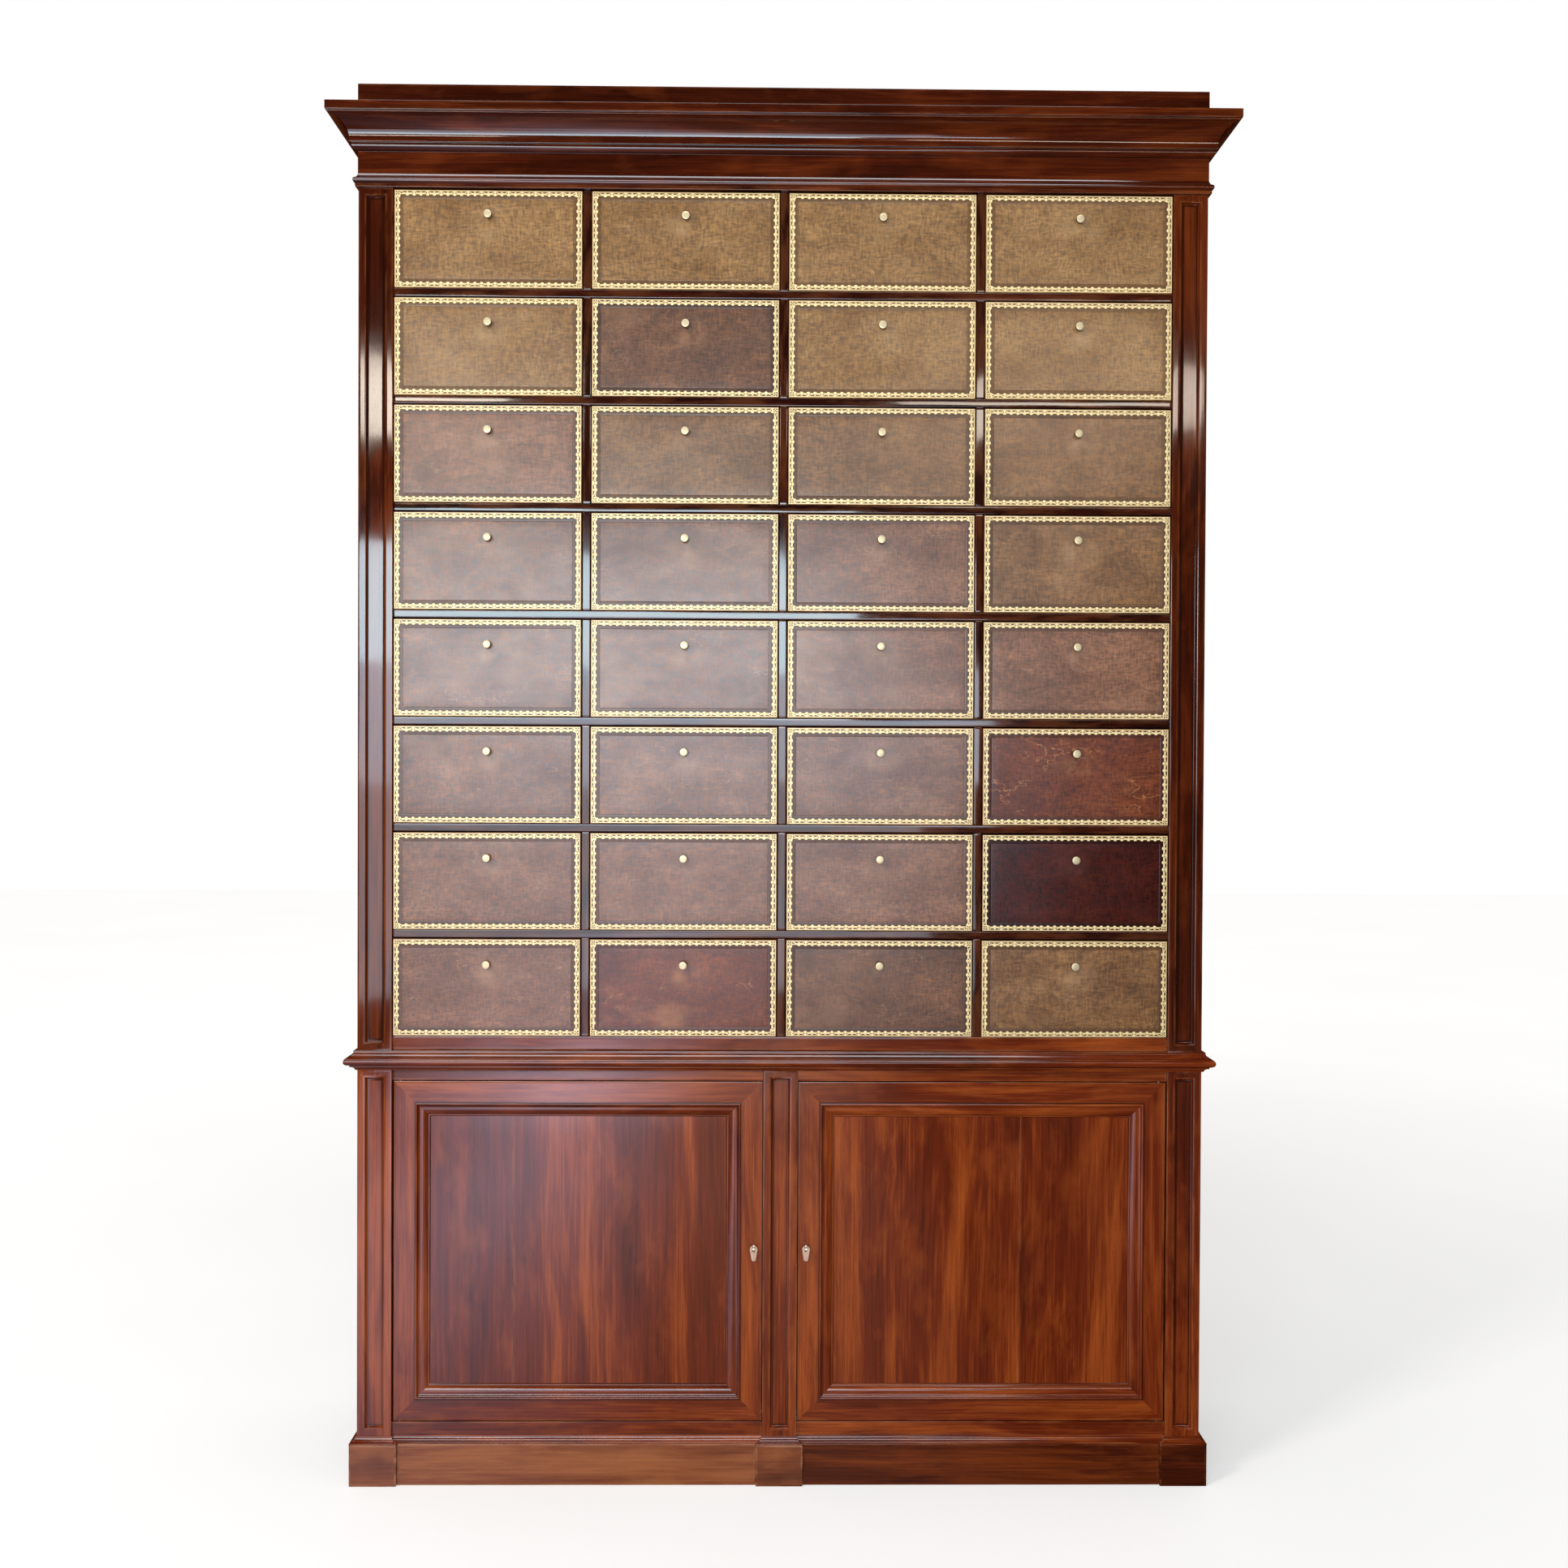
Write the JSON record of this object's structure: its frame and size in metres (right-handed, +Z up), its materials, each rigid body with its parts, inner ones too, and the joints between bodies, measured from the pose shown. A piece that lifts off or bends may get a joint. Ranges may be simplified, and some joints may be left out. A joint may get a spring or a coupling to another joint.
{
  "type": "cartonnier",
  "caption": "Tall mahogany filing cabinet: leather-fronted pull-out boxes in a pigeonhole case over a two-door locked cupboard, with a moulded cornice.",
  "frame": {"origin": "on the floor under the middle of the whole object's box", "axes": "+Z up, the front faces -Y, +X to the right as seen from the front"},
  "size_m": [1.731, 0.451, 2.688],
  "materials": {
    "mahogany": "french polished",
    "oak": "bare, aged",
    "leather": "aged, gilt tooled",
    "brass": "dull polished",
    "steel": "bright, aged"
  },
  "bodies": {
    "case": {"plinth": "mahogany", "base_moulding": "mahogany", "lower_pilasters": "mahogany", "upper_pilasters": "mahogany", "case_sides": "mahogany", "rails": "mahogany", "pivot_pins": "steel", "cupboard_floor": "oak", "cupboard_shelf": "oak", "back_boards": "oak", "waist_board": "mahogany", "pigeonhole_shelves": "mahogany", "pigeonhole_uprights": "mahogany", "frieze": "mahogany", "cornice": "mahogany", "attic": "mahogany"},
    "door_left": {"door_left_frame": "mahogany", "door_left_panel": "mahogany", "door_left_fittings": "brass"},
    "key_left": {"key_left": "brass"},
    "key_bow_left": {"key_bow_left": "brass"},
    "bolt_left": {"bolt_left": "steel"},
    "door_right": {"door_right_frame": "mahogany", "door_right_panel": "mahogany", "door_right_fittings": "brass"},
    "key_right": {"key_right": "brass"},
    "key_bow_right": {"key_bow_right": "brass"},
    "bolt_right": {"bolt_right": "steel"},
    "carton_r1c1": {"carton_r1c1": "leather"},
    "carton_r1c2": {"carton_r1c2": "leather"},
    "carton_r1c3": {"carton_r1c3": "leather"},
    "carton_r1c4": {"carton_r1c4": "leather"},
    "carton_r2c1": {"carton_r2c1": "leather"},
    "carton_r2c2": {"carton_r2c2": "leather"},
    "carton_r2c3": {"carton_r2c3": "leather"},
    "carton_r2c4": {"carton_r2c4": "leather"},
    "carton_r3c1": {"carton_r3c1": "leather"},
    "carton_r3c2": {"carton_r3c2": "leather"},
    "carton_r3c3": {"carton_r3c3": "leather"},
    "carton_r3c4": {"carton_r3c4": "leather"},
    "carton_r4c1": {"carton_r4c1": "leather"},
    "carton_r4c2": {"carton_r4c2": "leather"},
    "carton_r4c3": {"carton_r4c3": "leather"},
    "carton_r4c4": {"carton_r4c4": "leather"},
    "carton_r5c1": {"carton_r5c1": "leather"},
    "carton_r5c2": {"carton_r5c2": "leather"},
    "carton_r5c3": {"carton_r5c3": "leather"},
    "carton_r5c4": {"carton_r5c4": "leather"},
    "carton_r6c1": {"carton_r6c1": "leather"},
    "carton_r6c2": {"carton_r6c2": "leather"},
    "carton_r6c3": {"carton_r6c3": "leather"},
    "carton_r6c4": {"carton_r6c4": "leather"},
    "carton_r7c1": {"carton_r7c1": "leather"},
    "carton_r7c2": {"carton_r7c2": "leather"},
    "carton_r7c3": {"carton_r7c3": "leather"},
    "carton_r7c4": {"carton_r7c4": "leather"},
    "carton_r8c1": {"carton_r8c1": "leather"},
    "carton_r8c2": {"carton_r8c2": "leather"},
    "carton_r8c3": {"carton_r8c3": "leather"},
    "carton_r8c4": {"carton_r8c4": "leather"}
  },
  "joints": [
    {"name": "door_left_swing", "type": "hinge", "parent": "case", "child": "door_left", "pos_m": [-0.7345, -0.1615, 0.118], "axis": [0, 0, -1], "range_deg": [0, 110]},
    {"name": "key_left_turn", "type": "hinge", "parent": "door_left", "child": "key_left", "pos_m": [-0.0505, -0.1675, 0.456], "axis": [0, 1, 0], "range_deg": [0, 360]},
    {"name": "key_bow_left_fold", "type": "hinge", "parent": "key_left", "child": "key_bow_left", "pos_m": [-0.0505, -0.1785, 0.456], "axis": [-1, 0, 0], "range_deg": [0, 180]},
    {"name": "bolt_left_throw", "type": "slide", "parent": "door_left", "child": "bolt_left", "axis": [1, 0, 0], "range_m": [0, 0.01]},
    {"name": "door_right_swing", "type": "hinge", "parent": "case", "child": "door_right", "pos_m": [0.7345, -0.1615, 0.118], "axis": [0, 0, 1], "range_deg": [0, 110]},
    {"name": "key_right_turn", "type": "hinge", "parent": "door_right", "child": "key_right", "pos_m": [0.0505, -0.1675, 0.456], "axis": [0, -1, 0], "range_deg": [0, 360]},
    {"name": "key_bow_right_fold", "type": "hinge", "parent": "key_right", "child": "key_bow_right", "pos_m": [0.0505, -0.1785, 0.456], "axis": [-1, 0, 0], "range_deg": [0, 180]},
    {"name": "bolt_right_throw", "type": "slide", "parent": "door_right", "child": "bolt_right", "axis": [-1, 0, 0], "range_m": [0, 0.01]},
    {"name": "carton_r1c1_slide", "type": "slide", "parent": "case", "child": "carton_r1c1", "axis": [0, -1, 0], "range_m": [0, 0.3]},
    {"name": "carton_r1c2_slide", "type": "slide", "parent": "case", "child": "carton_r1c2", "axis": [0, -1, 0], "range_m": [0, 0.3]},
    {"name": "carton_r1c3_slide", "type": "slide", "parent": "case", "child": "carton_r1c3", "axis": [0, -1, 0], "range_m": [0, 0.3]},
    {"name": "carton_r1c4_slide", "type": "slide", "parent": "case", "child": "carton_r1c4", "axis": [0, -1, 0], "range_m": [0, 0.3]},
    {"name": "carton_r2c1_slide", "type": "slide", "parent": "case", "child": "carton_r2c1", "axis": [0, -1, 0], "range_m": [0, 0.3]},
    {"name": "carton_r2c2_slide", "type": "slide", "parent": "case", "child": "carton_r2c2", "axis": [0, -1, 0], "range_m": [0, 0.3]},
    {"name": "carton_r2c3_slide", "type": "slide", "parent": "case", "child": "carton_r2c3", "axis": [0, -1, 0], "range_m": [0, 0.3]},
    {"name": "carton_r2c4_slide", "type": "slide", "parent": "case", "child": "carton_r2c4", "axis": [0, -1, 0], "range_m": [0, 0.3]},
    {"name": "carton_r3c1_slide", "type": "slide", "parent": "case", "child": "carton_r3c1", "axis": [0, -1, 0], "range_m": [0, 0.3]},
    {"name": "carton_r3c2_slide", "type": "slide", "parent": "case", "child": "carton_r3c2", "axis": [0, -1, 0], "range_m": [0, 0.3]},
    {"name": "carton_r3c3_slide", "type": "slide", "parent": "case", "child": "carton_r3c3", "axis": [0, -1, 0], "range_m": [0, 0.3]},
    {"name": "carton_r3c4_slide", "type": "slide", "parent": "case", "child": "carton_r3c4", "axis": [0, -1, 0], "range_m": [0, 0.3]},
    {"name": "carton_r4c1_slide", "type": "slide", "parent": "case", "child": "carton_r4c1", "axis": [0, -1, 0], "range_m": [0, 0.3]},
    {"name": "carton_r4c2_slide", "type": "slide", "parent": "case", "child": "carton_r4c2", "axis": [0, -1, 0], "range_m": [0, 0.3]},
    {"name": "carton_r4c3_slide", "type": "slide", "parent": "case", "child": "carton_r4c3", "axis": [0, -1, 0], "range_m": [0, 0.3]},
    {"name": "carton_r4c4_slide", "type": "slide", "parent": "case", "child": "carton_r4c4", "axis": [0, -1, 0], "range_m": [0, 0.3]},
    {"name": "carton_r5c1_slide", "type": "slide", "parent": "case", "child": "carton_r5c1", "axis": [0, -1, 0], "range_m": [0, 0.3]},
    {"name": "carton_r5c2_slide", "type": "slide", "parent": "case", "child": "carton_r5c2", "axis": [0, -1, 0], "range_m": [0, 0.3]},
    {"name": "carton_r5c3_slide", "type": "slide", "parent": "case", "child": "carton_r5c3", "axis": [0, -1, 0], "range_m": [0, 0.3]},
    {"name": "carton_r5c4_slide", "type": "slide", "parent": "case", "child": "carton_r5c4", "axis": [0, -1, 0], "range_m": [0, 0.3]},
    {"name": "carton_r6c1_slide", "type": "slide", "parent": "case", "child": "carton_r6c1", "axis": [0, -1, 0], "range_m": [0, 0.3]},
    {"name": "carton_r6c2_slide", "type": "slide", "parent": "case", "child": "carton_r6c2", "axis": [0, -1, 0], "range_m": [0, 0.3]},
    {"name": "carton_r6c3_slide", "type": "slide", "parent": "case", "child": "carton_r6c3", "axis": [0, -1, 0], "range_m": [0, 0.3]},
    {"name": "carton_r6c4_slide", "type": "slide", "parent": "case", "child": "carton_r6c4", "axis": [0, -1, 0], "range_m": [0, 0.3]},
    {"name": "carton_r7c1_slide", "type": "slide", "parent": "case", "child": "carton_r7c1", "axis": [0, -1, 0], "range_m": [0, 0.3]},
    {"name": "carton_r7c2_slide", "type": "slide", "parent": "case", "child": "carton_r7c2", "axis": [0, -1, 0], "range_m": [0, 0.3]},
    {"name": "carton_r7c3_slide", "type": "slide", "parent": "case", "child": "carton_r7c3", "axis": [0, -1, 0], "range_m": [0, 0.3]},
    {"name": "carton_r7c4_slide", "type": "slide", "parent": "case", "child": "carton_r7c4", "axis": [0, -1, 0], "range_m": [0, 0.3]},
    {"name": "carton_r8c1_slide", "type": "slide", "parent": "case", "child": "carton_r8c1", "axis": [0, -1, 0], "range_m": [0, 0.3]},
    {"name": "carton_r8c2_slide", "type": "slide", "parent": "case", "child": "carton_r8c2", "axis": [0, -1, 0], "range_m": [0, 0.3]},
    {"name": "carton_r8c3_slide", "type": "slide", "parent": "case", "child": "carton_r8c3", "axis": [0, -1, 0], "range_m": [0, 0.3]},
    {"name": "carton_r8c4_slide", "type": "slide", "parent": "case", "child": "carton_r8c4", "axis": [0, -1, 0], "range_m": [0, 0.3]}
  ],
  "couplings": [
    {"joint": "key_left_turn", "follows": "bolt_left_throw", "rad_per_m": 628.3},
    {"joint": "key_right_turn", "follows": "bolt_right_throw", "rad_per_m": 628.3}
  ]
}
